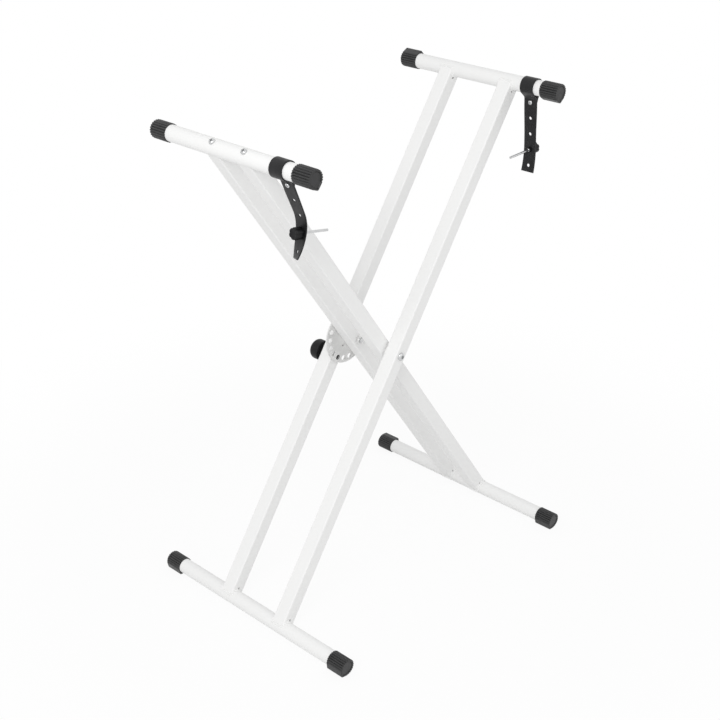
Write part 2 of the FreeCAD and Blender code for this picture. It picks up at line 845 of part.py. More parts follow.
def drill_strap(body, x, z, turn, dia, thickness):
    """A round hole square through the band, at a point of its side view."""
    doc.recompute()
    before = body.Shape.Volume
    hole = body.newObject("PartDesign::SubtractiveCylinder", body.Label + "_hole")
    plane = next(feature for feature in body.Origin.OriginFeatures if feature.Role == "XY_Plane")
    hole.AttachmentSupport = [(plane, "")]
    hole.MapMode = "FlatFace"
    hole.AttachmentOffset = FreeCAD.Placement(FreeCAD.Vector(), FreeCAD.Rotation(Y_AXIS, QUARTER_TURN))
    reach = thickness / 2 + s.cut_overrun
    bind(hole, "Radius", dia / 2)
    bind(hole, "Height", reach * 2)
    bind(hole, "AttachmentOffset.Base.x", x - reach * cosine(turn))
    bind(hole, "AttachmentOffset.Base.z", z + reach * sine(turn))
    bind(hole, "AttachmentOffset.Rotation.Angle", turn + QUARTER_TURN)
    check_cut(body, before)


def make_strap_fasteners(strap):
    """A screw through both layers, its head on the left, and its nut on the right."""
    head_radius = s.strap_screw_head_dia / 2
    crown_radius = head_radius * CROWN_SHARE
    seat = -s.strap_thickness
    crown = seat - s.strap_screw_head_height
    shank = s.strap_screw_dia / 2
    tip = s.strap_thickness + s.strap_nut_height + s.strap_screw_tip
    corners = [
        (crown, 0), (tip, 0), (tip, shank), (seat, shank), (seat, head_radius), (crown, crown_radius),
    ]
    screw = turned_along_x(f"strap_screw_{strap.side}", corners, down=strap_screw_at)
    strap.place(screw)
    keep(screw)

    nut = new_body(f"strap_nut_{strap.side}")
    section = new_sketch(nut, "YZ_Plane", up=-strap_screw_at, out=s.strap_thickness)
    draw_hexagon(section, s.strap_nut_width)
    draw_circle(section, 0, 0, s.strap_screw_dia + s.thread_fit * 2)
    pad(nut, section, s.strap_nut_height)
    strap.place(nut)
    keep(nut)


# Thumbscrews: a plain rod through a hole of the tail, with a fluted knob outside and a collar inside
def make_thumbscrew(strap):
    way = strap.rod_way
    distance = strap_screw_at + s.tail_spacing * s.thumb_hole
    face = s.strap_thickness / 2 + s.thumb_play
    edge = s.thumb_dia / 2
    bow = edge * edge / (strap.bend_radius * 2 - s.strap_thickness)
    knob_face = face + bow
    rod = s.rod_dia / 2
    root = s.rod_root_dia / 2
    rod_end = -knob_face - s.rod_depth
    far = face + s.rod_collar_length
    tip = face + s.rod_reach
    corners = [
        (rod_end * way, 0), (tip * way, 0), (tip * way, rod),
        (far * way, rod), (far * way, root), (rod_end * way, root),
    ]
    rod_body = turned_along_x(f"thumb_rod_{strap.side}", corners)
    strap.place_on_tail(rod_body, distance)
    keep(rod_body)

    bore = root + s.rod_fit
    back = -knob_face - s.thumb_height
    corners = [
        (-knob_face * way, bore), (-knob_face * way, edge), (back * way, edge),
        (back * way, 0), (rod_end * way, 0), (rod_end * way, bore),
    ]
    knob = turned_along_x(f"thumb_knob_{strap.side}", corners)
    flute = new_sketch(knob, "YZ_Plane")
    draw_circle(flute, edge - s.thumb_flute_depth + s.thumb_flute_dia / 2, 0, s.thumb_flute_dia)
    cut = pocket(knob, flute)
    repeat_round(knob, cut, flute, s.thumb_flutes)
    strap.place_on_tail(knob, distance)
    keep(knob)

    ring = bore + s.rod_collar_wall
    corners = [(face * way, bore), (face * way, ring), (far * way, ring), (far * way, bore)]
    collar = turned_along_x(f"thumb_collar_{strap.side}", corners)
    strap.place_on_tail(collar, distance)
    keep(collar)


def write_sub_parts():
    """Check every object and every sub-part's solids, then write one file for each sub-part."""
    doc.recompute()
    for item in doc.Objects:
        if "Invalid" in item.State or "Error" in item.State:
            raise RuntimeError(f"{item.Label} did not build: {item.State}")
    for item in sub_parts:
        if item.Shape.isNull() or not item.Shape.isValid() or not item.Shape.Solids:
            raise RuntimeError(f"{item.Label} has no valid solid")
    os.makedirs("parts", exist_ok=True)
    for item in sub_parts:
        item.Shape.exportStep(f"parts/{item.Label}.step")


make_frames()
make_pivot_bolts()
make_pivot_fittings()
make_lock_disc()
make_lock_guide()
make_lock_pin()
make_lock_spring()
make_lock_knob()
make_top_bar_screws()
for one_strap in STRAPS:
    make_strap(one_strap)
    make_strap_fasteners(one_strap)
    make_thumbscrew(one_strap)
write_sub_parts()
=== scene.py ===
from functools import partial
from math import acos, asin, atan2, copysign, cos, hypot, pi, radians, sin, sqrt, tan

import bmesh
import bpy
from bpy.props import FloatProperty, FloatVectorProperty, IntProperty, PointerProperty
from mathutils import Matrix, Vector


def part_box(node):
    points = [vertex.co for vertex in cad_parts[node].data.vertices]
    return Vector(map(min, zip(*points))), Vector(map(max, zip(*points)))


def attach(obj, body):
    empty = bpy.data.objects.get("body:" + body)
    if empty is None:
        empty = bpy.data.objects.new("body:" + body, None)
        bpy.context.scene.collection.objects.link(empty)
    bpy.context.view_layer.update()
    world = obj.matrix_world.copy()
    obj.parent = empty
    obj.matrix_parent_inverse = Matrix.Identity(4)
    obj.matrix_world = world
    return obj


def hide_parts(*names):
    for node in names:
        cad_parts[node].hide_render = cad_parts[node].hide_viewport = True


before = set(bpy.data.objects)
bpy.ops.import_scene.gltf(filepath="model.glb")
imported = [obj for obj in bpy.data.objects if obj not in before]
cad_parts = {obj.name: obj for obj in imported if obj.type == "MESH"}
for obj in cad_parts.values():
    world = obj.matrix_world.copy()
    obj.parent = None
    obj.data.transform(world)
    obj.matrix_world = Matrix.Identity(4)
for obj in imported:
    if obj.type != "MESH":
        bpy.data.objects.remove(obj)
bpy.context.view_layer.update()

bl_info = {
    "name": "Keyboard stand finish",
    "version": (1, 0, 0),
    "blender": (4, 5, 0),
    "location": "3D View > Sidebar > Stand",
    "description": "Fine pieces, finishes and a studio stage for a folding keyboard stand",
    "category": "Add Mesh",
}

FRONT = -1
REAR = 1
FULL_TURN = 2 * pi
HALF_TURN = pi
QUARTER_TURN = pi / 2
SIXTH_TURN = FULL_TURN / 6

# Shading: edges over the angle are sharp, sides over the share of a solid's surface are flat
SHARP_ANGLE = radians(38)
FLAT_SHARE = 0.08

# The range of a noise field that is spread over a finish's values
FIELD_LOW = 0.3
FIELD_HIGH = 0.7

# Steps round a piece
ROUND_STEPS = 64
FINE_STEPS = 96
COLLAR_STEPS = 48
NUT_STEPS = 72
CAP_STEPS = 360
FLUTE_STEPS = 30
BEAD_STEPS = 12

# Steps of a rounded edge
EDGE_STEPS = 4
KNOB_EDGE_STEPS = 6
PAN_STEPS = 8
DOME_STEPS = 12

# Nuts, as shares of the width, the half width and the bore
NUT_CHAMFER = 0.09
NUT_FACE = 0.96
NUT_LEAD = 0.06

# Pan-head screws, as shares of the shank, the head's radius and the head's height
TIP_WIDTH = 0.8
TIP_LENGTH = 0.12
PAN_FOOT = 0.985
PAN_TOP = 0.98
PAN_FLAT = 0.12
PAN_FOOT_HEIGHT = 0.06
PAN_ROUND = 0.72

# The cross recess, as shares of the head's width and height
CROSS_ARM = 0.29
CROSS_HALF = 0.06
CROSS_FLOOR = 0.38
CROSS_ABOVE = 1.3
CROSS_TAPER = 0.72

# Thumb knobs and collars, as shares of the edge's rounding, the radius and the collar's wall
KNOB_FOOT = 0.5
KNOB_FOOT_ROUND = 0.15
KNOB_DISH_DEPTH = 0.3
KNOB_DISH_RIM = 0.34
KNOB_DISH_FLOOR = 0.42
FLUTE_FADE = 2.4
COLLAR_ROUND = 0.3

# Welds: a leg's corner as a share of its side, the steps along the bead and its ripple
LEG_CORNER = 0.1
WELD_CORNER_STEPS = 14
WELD_SIDE_STEPS = 40
BEAD_RIPPLE = 0.10

# The top bar's screws reach so many radii of the bar
BAR_SCREW_REACH = 3.2

# Straps: how the twist grows, how far down the tail the waist is, and the band's mesh
TWIST_POWER = 4
WAIST_AT = 0.45
STRAP_COLUMNS = 8
STRAP_ROW = 0.0016
HOLE_PATCH = 0.0062
HOLE_RINGS = (0.45, 0.8, 1.0)
BAND_EDGE_ANGLE = radians(72)
BAND_EDGE_STEPS = 3

SENSOR_WIDTH = 36
FLOOR_ROUGHNESS = 0.9


def field(kind, name, description, default, **limits):
    return kind(name=name, description=description, default=default, **limits)


number = partial(field, FloatProperty, min=0)
length = partial(number, unit="LENGTH")
power = partial(number, unit="POWER")
share = partial(number, max=1, subtype="FACTOR")
count = partial(field, IntProperty, min=1)
colour = partial(field, FloatVectorProperty, min=0, max=1, size=3, subtype="COLOR")
stage_spot = partial(field, FloatVectorProperty, size=3, subtype="TRANSLATION", unit="LENGTH")


def angle(name, description, degrees):
    return field(FloatProperty, name, description, radians(degrees), unit="ROTATION")


class CapSizes(bpy.types.PropertyGroup):
    """Sizes of the ribbed end caps"""

    wall: length("Wall", "Thickness of the sleeve at its ribs", 0.0016)
    end: length("End", "Thickness of the closed end", 0.003)
    fit: length("Fit", "Play between the bar and the sleeve", 0.00005)
    grooves: count("Grooves", "Grooves between the ribs of a cap", 17)
    groove_start: angle("Groove start", "From the corner to the first groove", 52)
    groove_depth: length("Groove depth", "Depth of the grooves between the ribs", 0.0014)
    corner_round: angle("Corner round", "Half of the turn over which the corner is rounded", 3.4)
    edge_round: length("Edge round", "Rounding of the closed end's edge", 0.0008)
    dish_rim: length("Dish rim", "Width of the rim round the closed end's dish", 0.0020)
    dish_depth: length("Dish depth", "Depth of the dish in the closed end", 0.0009)
    lip: length("Lip", "Rounding of the mouth", 0.0004)


class StrapSizes(bpy.types.PropertyGroup):
    """Sizes of the two holding straps"""

    thickness: length("Thickness", "Thickness of the band", 0.0018)
    fit: length("Fit", "Play round the bar", 0.0003)
    throat: length("Throat", "From the bar to where the two layers meet", 0.0055)
    neck_round: length("Neck round", "Outer radius where the loop runs into the tail", 0.008)
    loop_width: length("Loop width", "Width round the bar", 0.025)
    waist_width: length("Waist width", "Width of the tail at its narrowest", 0.0230)
    end_width: length("End width", "Width of the tail at its end", 0.0236)
    short_end: length("Short end", "Inner layer past the screw", 0.0065)
    short_width: length("Short width", "Width of the inner layer at its end", 0.0150)
    hole_pitch: length("Hole pitch", "Between the holes of a tail", 0.027)
    holes: count("Holes", "Holes in a tail", 4)
    hole_width: length("Hole width", "Diameter of a tail hole", 0.0052)
    margin: length("Margin", "Tail past its last hole", 0.011)
    edge_round: length("Edge round", "Rounding of the band's edges", 0.0004)
    screw_width: length("Screw head", "Diameter of the head of the closing screw", 0.0076)
    screw_height: length("Screw head height", "Height of the head of the closing screw", 0.0020)
    screw_shank: length("Screw shank", "Diameter of the closing screw", 0.004)
    screw_tip: length("Screw tip", "Closing screw past its nut", 0.001)
    nut_width: length("Nut width", "Across the flats of the closing nut", 0.007)
    nut_height: length("Nut height", "Height of the closing nut", 0.0032)
    left_lean: angle("Left lean", "Lean of the left strap", 23)
    left_straight: length("Left straight", "Where the left tail starts to bend", 0.075)
    left_bend: length("Left bend", "Radius of the left tail's bend", 0.054)
    left_end_bend: length("Left end bend", "Radius of the left tail past its thumbscrew", 0.15)
    left_twist: angle("Left twist", "Twist of the left tail's loose end", -34)
    right_lean: angle("Right lean", "Lean of the right strap", 4)
    right_straight: length("Right straight", "Where the right tail starts to bend", 0.1)
    right_bend: length("Right bend", "Radius of the right tail's bend", 0.15)
    right_end_bend: length("Right end bend", "Radius of the right tail past its thumbscrew", 0.15)
    right_twist: angle("Right twist", "Twist of the right tail's loose end", 4)


class FittingSizes(bpy.types.PropertyGroup):
    """Sizes of the screws, bolts, knobs and welds"""

    bolt_width: length("Bolt", "Diameter of a pivot bolt", 0.008)
    bolt_head: length("Bolt head", "Diameter of a pivot bolt's head", 0.014)
    bolt_rim: length("Bolt rim", "Height of the straight rim of the head", 0.001)
    socket_width: length("Socket", "Across the flats of the bolt's socket", 0.006)
    socket_depth: length("Socket depth", "Depth of the bolt's socket", 0.0036)
    bolt_tip: length("Bolt tip", "Bolt past its nut", 0.002)
    tip_chamfer: length("Tip chamfer", "Chamfer on the end of a bolt", 0.0008)
    thread_play: length("Thread play", "Radial play between a screw or rod and its bore", 0.00005)
    nut_width: length("Nut", "Across the flats of a pivot nut", 0.013)
    nut_height: length("Nut height", "Height of a pivot nut", 0.0065)
    bar_screw_head: length("Bar screw head", "Diameter of the top bar's screw heads", 0.010)
    bar_screw_height: length("Bar screw height", "Height of the top bar's screw heads", 0.0034)
    bar_screw_shank: length("Bar screw", "Diameter of the top bar's screws", 0.006)
    knob_round: length("Lock knob round", "Rounding of the lock knob's far edge", 0.008)
    knob_base_round: length("Lock knob base", "Rounding of the lock knob's near edge", 0.0008)
    knob_dish: length("Lock knob dish", "Depth of the dish in the lock knob's face", 0.0006)
    thumb_hole: count("Thumb hole", "Tail hole that a thumbscrew sits in", 3)
    thumb_width: length("Thumb knob", "Diameter of a thumb knob", 0.018)
    thumb_height: length("Thumb knob height", "Height of a thumb knob", 0.014)
    thumb_play: length("Thumb play", "Between the strap and the thumb knob or its collar", 0.0003)
    thumb_flutes: count("Thumb flutes", "Flutes round a thumb knob", 6)
    thumb_flute: length("Thumb flute", "Diameter of a flute of a thumb knob", 0.006)
    thumb_flute_depth: length("Thumb flute depth", "Depth of a flute of a thumb knob", 0.0012)
    thumb_round: length("Thumb knob round", "Rounding of a thumb knob's edge", 0.0016)
    rod_root: length("Rod root", "Diameter of the rod in the knob and the collar", 0.005)
    collar_wall: length("Collar wall", "Wall of the rod's collar", 0.0018)
    collar_length: length("Collar length", "Length of the rod's collar", 0.004)
    bead_radius: length("Weld bead", "Radius of a weld bead", 0.0017)
    bead_pitch: length("Weld ripple", "Between the ripples of a weld bead", 0.0024)


class FinishColours(bpy.types.PropertyGroup):
    """Colours of the finishes"""

    coat: colour("Coat", "White coat of the tubes", (0.90, 0.90, 0.895))
    cap: colour("Caps", "Ribbed end caps", (0.0155, 0.0155, 0.0162))
    strap: colour("Straps", "Holding straps", (0.013, 0.013, 0.014))
    knob: colour("Knobs", "Lock knob, thumb knobs and collars", (0.007, 0.007, 0.0075))
    bright: colour("Bright plate", "Bolts, screws and rods", (0.62, 0.625, 0.63))
    zinc: colour("Zinc plate", "Disc, washers and nuts", (0.80, 0.80, 0.795))


class StageSettings(bpy.types.PropertyGroup):
    """Camera, lamps and floor"""

    camera_place: stage_spot("Camera", "Where the camera stands", (-1.4213, -1.3183, 1.38805))
    camera_azimuth: angle("Azimuth", "Turn of the camera round the stand", -46.793)
    camera_elevation: angle("Elevation", "Height of the camera above the horizon", 27.486)
    camera_roll: angle("Roll", "Tilt of the camera about its own axis", -0.213)
    camera_lens: number("Lens", "Focal length on a 36 mm sensor", 65.05, unit="CAMERA")
    floor: colour("Floor", "Colour of the floor", (0.86, 0.86, 0.86))
    floor_radius: length("Floor radius", "Radius of the floor", 9)
    floor_drop: length("Floor drop", "How far the floor lies below the stand", 0.0004)
    floor_shadow: share("Floor shadow", "Share of the floor that takes the stand's shadow", 0.08)
    shadow_full: length("Full shadow", "How far from its middle the floor keeps its shadow", 0.45)
    shadow_end: length("Shadow end", "Where the floor has faded to white", 1.1)
    ambient: number("Ambient", "Light from all sides", 0.70)
    lamp_aim: stage_spot("Lamp aim", "The spot that the lamps face", (0, 0, 0.4))
    key_place: stage_spot("Key place", "Where the large lamp hangs", (-1.8, -0.8, 1.9))
    key_size: length("Key size", "Diameter of the large lamp", 1.3)
    key: power("Key lamp", "Power of the large lamp", 19)
    fill_place: stage_spot("Fill place", "Where the second lamp hangs", (0.6, -2.8, 1.8))
    fill_size: length("Fill size", "Diameter of the second lamp", 2.4)
    fill: power("Fill lamp", "Power of the second lamp", 7)


SETTINGS = {
    "stand_caps": CapSizes,
    "stand_straps": StrapSizes,
    "stand_fittings": FittingSizes,
    "stand_colours": FinishColours,
    "stand_stage": StageSettings,
}


def setting(name):
    return getattr(bpy.context.scene, name)


# Places read from the solids
def middle(node):
    low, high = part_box(node)
    return (low + high) / 2


def bar_axis(node):
    """The x and z of a bar's axis."""
    centre = middle(node)
    return centre.x, centre.z


def bar_radius(node):
    low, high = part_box(node)
    return (high.z - low.z) / 2


def pivot_place():
    return Vector((0, 0, middle("pivot_bolts").z))


# Finishes
def set_inputs(tree, node, inputs):
    """Give each input of a shader node its value, or link it to another node's output."""
    for name, value in inputs.items():
        if isinstance(value, bpy.types.NodeSocket):
            tree.links.new(value, node.inputs[name])
        else:
            node.inputs[name].default_value = value


def add_node(tree, kind, inputs, **settings):
    node = tree.nodes.new(f"ShaderNode{kind}")
    for name, value in settings.items():
        setattr(node, name, value)
    set_inputs(tree, node, inputs)
    return node


def node_of(tree, kind):
    return next(node for node in tree.nodes if node.type == kind)


class Finish:
    """A material whose shader is fed by a few texture nodes in the piece's own coordinates."""

    def __init__(self, name, base, metallic=0.0, specular=0.5):
        self.base = tuple(base)
        self.material = bpy.data.materials.new(name)
        self.material.use_nodes = True
        self.material.diffuse_color = (*base, 1)
        self.tree = self.material.node_tree
        self.shader = node_of(self.tree, "BSDF_PRINCIPLED")
        self.feed({"Base Color": (*base, 1), "Metallic": metallic, "Specular IOR Level": specular})
        self.place = add_node(self.tree, "TexCoord", {}).outputs["Object"]

    def feed(self, inputs):
        set_inputs(self.tree, self.shader, inputs)

    def noise(self, scale, detail=3.0, stretch=None):
        """A noise field; stretch draws it out along an axis."""
        source = self.place
        if stretch:
            mapping = add_node(self.tree, "Mapping", {"Vector": source, "Scale": stretch})
            source = mapping.outputs["Vector"]
        node = add_node(self.tree, "TexNoise", {"Vector": source, "Scale": scale, "Detail": detail})
        return node.outputs["Fac"]

    def cells(self, scale):
        node = add_node(self.tree, "TexVoronoi", {"Vector": self.place, "Scale": scale})
        return node.outputs["Distance"]

    def tint(self, field, dark, light):
        """Colour the piece between two shades of its base."""
        ramp = add_node(self.tree, "ValToRGB", {"Fac": field})
        low, high = ramp.color_ramp.elements
        for end, position, shade in ((low, FIELD_LOW, dark), (high, FIELD_HIGH, light)):
            end.position = position
            end.color = (*(min(1, channel * shade) for channel in self.base), 1)
        self.feed({"Base Color": ramp.outputs["Color"]})

    def rough(self, field, low, high):
        """Spread the roughness between two values."""
        spread = add_node(self.tree, "MapRange", {
            "Value": field, "From Min": FIELD_LOW, "From Max": FIELD_HIGH,
            "To Min": low, "To Max": high,
        })
        self.feed({"Roughness": spread.outputs["Result"]})

    def bump(self, field, strength, depth):
        """Raise the surface by a field, on top of any bump before it."""
        inputs = {"Strength": strength, "Distance": depth, "Height": field}
        before = self.shader.inputs["Normal"].links
        if before:
            inputs["Normal"] = before[0].from_socket
        self.feed({"Normal": add_node(self.tree, "Bump", inputs).outputs["Normal"]})


def powder_coat(colours):
    """Satin powder coat: a fine orange peel with cloudy gloss."""
    finish = Finish("powder_coat", colours.coat, specular=0.25)
    finish.tint(finish.noise(7), 0.992, 1.0)
    finish.rough(finish.noise(55), 0.50, 0.60)
    finish.bump(finish.noise(1100, 2), 0.10, 0.0003)
    finish.bump(finish.noise(90, 2), 0.05, 0.0006)
    return finish.material


def cap_rubber(colours):
    """Moulded rubber: dull, with a fine grain and rubbed patches."""
    finish = Finish("cap_rubber", colours.cap, specular=0.50)
    finish.tint(finish.noise(120), 0.8, 1.35)
    finish.rough(finish.noise(260), 0.34, 0.48)
    finish.bump(finish.noise(2600, 2), 0.22, 0.0002)
    return finish.material


def strap_rubber(colours):
    """Smooth extruded rubber: a satin sheen drawn along the band."""
    finish = Finish("strap_rubber", colours.strap, specular=0.26)
    finish.tint(finish.noise(60), 0.8, 1.3)
    finish.rough(finish.noise(160, stretch=(3, 3, 0.4)), 0.34, 0.5)
    finish.bump(finish.noise(900, 2, stretch=(2, 2, 0.25)), 0.10, 0.0002)
    finish.bump(finish.noise(3200, 2), 0.10, 0.0001)
    return finish.material


def knob_plastic(colours):
    """Moulded plastic with a fine spark-eroded grain."""
    finish = Finish("knob_plastic", colours.knob, specular=0.22)
    finish.tint(finish.noise(90), 0.8, 1.4)
    finish.rough(finish.noise(300), 0.36, 0.5)
    finish.bump(finish.noise(2400, 3), 0.2, 0.00015)
    return finish.material


def bright_plate(colours):
    """Bright nickel plate: nearly clear reflections with faint haze."""
    finish = Finish("bright_plate", colours.bright, metallic=1.0)
    finish.tint(finish.noise(140), 0.93, 1.03)
    finish.rough(finish.noise(420), 0.10, 0.2)
    finish.bump(finish.noise(1500, 2), 0.05, 0.0001)
    return finish.material


def zinc_plate(colours):
    """Dull zinc plate: fine spangle with a soft gloss."""
    finish = Finish("zinc_plate", colours.zinc, metallic=1.0)
    finish.tint(finish.noise(45), 0.9, 1.05)
    finish.rough(finish.cells(700), 0.34, 0.5)
    finish.bump(finish.noise(1800, 3), 0.12, 0.0001)
    return finish.material


def dress(data, finish):
    """Give a mesh a finish and smooth its rounds."""
    data.materials.clear()
    data.materials.append(
        bpy.data.materials.get(finish.__name__) or finish(setting("stand_colours"))
    )
    data.shade_smooth()
    data.set_sharp_from_angle(angle=SHARP_ANGLE)


def coat_node(node, finish):
    """Give a CAD node a finish. Its large flats stay flat, with smooth rounds between them."""
    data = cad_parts[node].data
    dress(data, finish)
    facing = [tuple(round(part, 2) for part in polygon.normal) for polygon in data.polygons]
    areas = dict.fromkeys(facing, 0.0)
    for polygon, way in zip(data.polygons, facing):
        areas[way] += polygon.area
    whole = sum(areas.values())
    for polygon, way in zip(data.polygons, facing):
        polygon.use_smooth = areas[way] < FLAT_SHARE * whole


# Mesh building
def direction(turn):
    return Vector((cos(turn), sin(turn)))


def round_turns(steps):
    return [FULL_TURN * step / steps for step in range(steps)]


def wrapped(turn, pitch):
    """A turn brought to within half a pitch of zero."""
    return (turn + pitch / 2) % pitch - pitch / 2


def at_turn(place, turn, reach, height):
    """A point round the local Z of a place."""
    return place @ Vector((reach * cos(turn), reach * sin(turn), height))


def loft(rings, closed=False, mesh=None):
    """Skin a stack of rings of like points, its ends filled, or joined where closed."""
    if mesh is None:
        mesh = bmesh.new()
    rows = [[mesh.verts.new(spot) for spot in ring] for ring in rings]
    for low, high in zip(rows, rows[1:] + rows[:1] if closed else rows[1:]):
        for index, corner in enumerate(low):
            beside = (index + 1) % len(low)
            mesh.faces.new((corner, low[beside], high[beside], high[index]))
    if closed:
        return mesh
    for row in (rows[0], rows[-1]):
        centre = mesh.verts.new(sum((vert.co for vert in row), Vector()) / len(row))
        for index, corner in enumerate(row):
            mesh.faces.new((centre, corner, row[(index + 1) % len(row)]))
    return mesh


def turned(profile, place, steps=ROUND_STEPS, closed=False):
    """A round piece: a profile of radius and height turned about the local Z of a place."""
    turns = round_turns(steps)
    rings = [[at_turn(place, turn, radius, height) for turn in turns] for radius, height in profile]
    return loft(rings, closed)


def rounded(start, corner, end, radius, steps=EDGE_STEPS):
    """A profile's corner as an arc of a radius."""
    start, corner, end = (Vector(spot) for spot in (start, corner, end))
    first = (start - corner).normalized()
    last = (end - corner).normalized()
    half = first.angle(last) / 2
    reach = radius / tan(half)
    centre = corner + (first + last).normalized() * (radius / sin(half))
    low = corner + first * reach - centre
    high = corner + last * reach - centre
    return [
        tuple(centre + low.lerp(high, step / steps).normalized() * radius) for step in range(steps + 1)
    ]


def edge_levels(top, radius, steps):
    """The insets and heights of an edge that is rounded up to a top."""
    turns = [QUARTER_TURN * step / steps for step in range(1, steps + 1)]
    return [(radius * (1 - cos(turn)), top - radius * (1 - sin(turn))) for turn in turns]


def along(way, place):
    """A place whose local Z points along a way."""
    turn = Vector(way).to_track_quat("Z", "Y").to_matrix().to_4x4()
    return Matrix.Translation(place) @ turn


def finished_mesh(mesh, name):
    """A mesh with its faces turned outwards, as data that an object can take."""
    bmesh.ops.recalc_face_normals(mesh, faces=mesh.faces)
    if mesh.calc_volume(signed=True) < 0:
        bmesh.ops.reverse_faces(mesh, faces=mesh.faces)
    data = bpy.data.meshes.new(name)
    mesh.to_mesh(data)
    mesh.free()
    return data


def put(name, data, place=Matrix()):
    """Put an object in the scene."""
    item = bpy.data.objects.new(name, data)
    bpy.context.scene.collection.objects.link(item)
    item.matrix_world = place
    return item


def new_piece(name, shape, body, finish, replaces=()):
    """Put a shape in the scene as a piece that rides on a body and stands for CAD nodes."""
    data = shape if isinstance(shape, bpy.types.Mesh) else finished_mesh(shape, name)
    piece = put(name, data)
    dress(data, finish)
    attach(piece, body)
    if replaces:
        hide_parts(*replaces)


def volume_of(data):
    mesh = bmesh.new()
    mesh.from_mesh(data)
    volume = mesh.calc_volume()
    mesh.free()
    return volume


def cut(data, tool):
    """A mesh with another cut out of it."""
    whole = put("cut_whole", data)
    cutter = put("cut_tool", tool)
    modifier = whole.modifiers.new("cut", "BOOLEAN")
    modifier.object = cutter
    modifier.solver = "EXACT"
    bpy.context.view_layer.update()
    evaluated = whole.evaluated_get(bpy.context.evaluated_depsgraph_get())
    result = bpy.data.meshes.new_from_object(evaluated)
    for item in (whole, cutter):
        bpy.data.objects.remove(item)
    if volume_of(result) >= volume_of(data):
        raise RuntimeError(f"a cut left {data.name} whole")
    return result


def joined(parts):
    """Several meshes as one."""
    mesh = bmesh.new()
    for part in parts:
        mesh.from_mesh(part)
    return mesh


def hexagon_reach(turn, width):
    """How far a hexagon's side stands from its middle, at a turn."""
    return width / 2 / cos(wrapped(turn, SIXTH_TURN))


def hexagon_prism(place, width, low, high):
    turns = [turn + SIXTH_TURN / 2 for turn in round_turns(6)]
    return loft([
        [at_turn(place, turn, hexagon_reach(turn, width), height) for turn in turns]
        for height in (low, high)
    ])


def hexagon_nut(place, width, height, bore, mesh=None):
    """A nut from the origin along local Z, its corners chamfered on the far side."""
    turns = round_turns(NUT_STEPS)
    chamfer = width * NUT_CHAMFER
    corner = hexagon_reach(SIXTH_TURN / 2, width)
    levels = [(corner, 0)]
    for step in range(EDGE_STEPS + 1):
        part = step / EDGE_STEPS
        limit = corner - part * (corner - width / 2 * NUT_FACE)
        levels.append((limit, height - chamfer * (1 - part)))
    rings = [
        [at_turn(place, turn, min(hexagon_reach(turn, width), limit), level) for turn in turns]
        for limit, level in levels
    ]
    inner = bore / 2
    lead = bore * NUT_LEAD
    bore_levels = ((inner + lead, height), (inner, height - lead), (inner, lead), (inner + lead, 0))
    rings += [[at_turn(place, turn, reach, level) for turn in turns] for reach, level in bore_levels]
    return loft(rings, True, mesh)


def pan_head_screw(place, head, height, shank, reach):
    """A pan-head screw with a cross recess: its seat at the origin, its head along local Z."""
    radius = head / 2
    core = shank / 2
    top = (radius * PAN_TOP, height)
    profile = [
        (core * TIP_WIDTH, -reach), (core, shank * TIP_LENGTH - reach), (core, 0),
        (radius * PAN_FOOT, 0), (radius, height * PAN_FOOT_HEIGHT),
        *rounded((radius, 0), top, (0, height), height * PAN_ROUND, PAN_STEPS),
        (radius * PAN_FLAT, height),
    ]
    data = finished_mesh(turned(profile, place), "pan_head_screw")
    arm = head * CROSS_ARM
    half = head * CROSS_HALF
    for long, wide in ((arm, half), (half, arm)):
        blade = loft([
            [
                place @ Vector((x * long * taper, y * wide * taper, height * level))
                for x, y in ((-1, -1), (1, -1), (1, 1), (-1, 1))
            ]
            for level, taper in ((CROSS_FLOOR, CROSS_TAPER), (CROSS_ABOVE, 1.0))
        ])
        data = cut(data, finished_mesh(blade, "cross_blade"))
    return data


# White tubes
class STAND_OT_tubes(bpy.types.Operator):
    """Give the legs and bars their white coat"""

    bl_idname = "stand.tubes"
    bl_label = "Coated tubes"

    def execute(self, context):
        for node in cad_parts:
            if node.endswith("_bar") or "_leg_" in node:
                coat_node(node, powder_coat)
        return {"FINISHED"}


def leg_outline(side):
    """The section of a leg as a closed line of points."""
    corner = side * LEG_CORNER
    half = side / 2 - corner
    outline = []
    for index, (x, y) in enumerate(((1, 1), (-1, 1), (-1, -1), (1, -1))):
        first = QUARTER_TURN * index
        centre = Vector((x, y)) * half
        for step in range(WELD_CORNER_STEPS):
            outline.append(centre + direction(first + QUARTER_TURN * step / WELD_CORNER_STEPS) * corner)
        start = centre + direction(first + QUARTER_TURN) * corner
        run = direction(first + HALF_TURN) * half * 2
        outline += [start + run * step / WELD_SIDE_STEPS for step in range(WELD_SIDE_STEPS)]
    return outline


def weld_ring(mesh, bar, leg_y, leg_side, sizes):
    """A bead round the end of a leg, where it saddles a bar."""
    x, z = bar_axis(bar)
    radius = bar_radius(bar)
    up = (pivot_place() - Vector((x, 0, z))).normalized()
    across = Vector((-up.z, 0, up.x))
    path = [
        Vector((x, leg_y + spot.y, z)) + across * spot.x
        + up * sqrt(max(radius ** 2 - spot.x ** 2, 0))
        for spot in leg_outline(leg_side)
    ]
    turns = round_turns(BEAD_STEPS)
    walked = 0.0
    rings = []
    for index, spot in enumerate(path):
        before = path[index - 1]
        after = path[(index + 1) % len(path)]
        walked += (spot - before).length
        run = (after - before).normalized()
        side = run.cross(up).normalized()
        top = side.cross(run)
        swell = sizes.bead_radius * (1 + BEAD_RIPPLE * sin(FULL_TURN * walked / sizes.bead_pitch))
        rings.append([spot + (side * cos(turn) + top * sin(turn)) * swell for turn in turns])
    loft(rings, True, mesh)


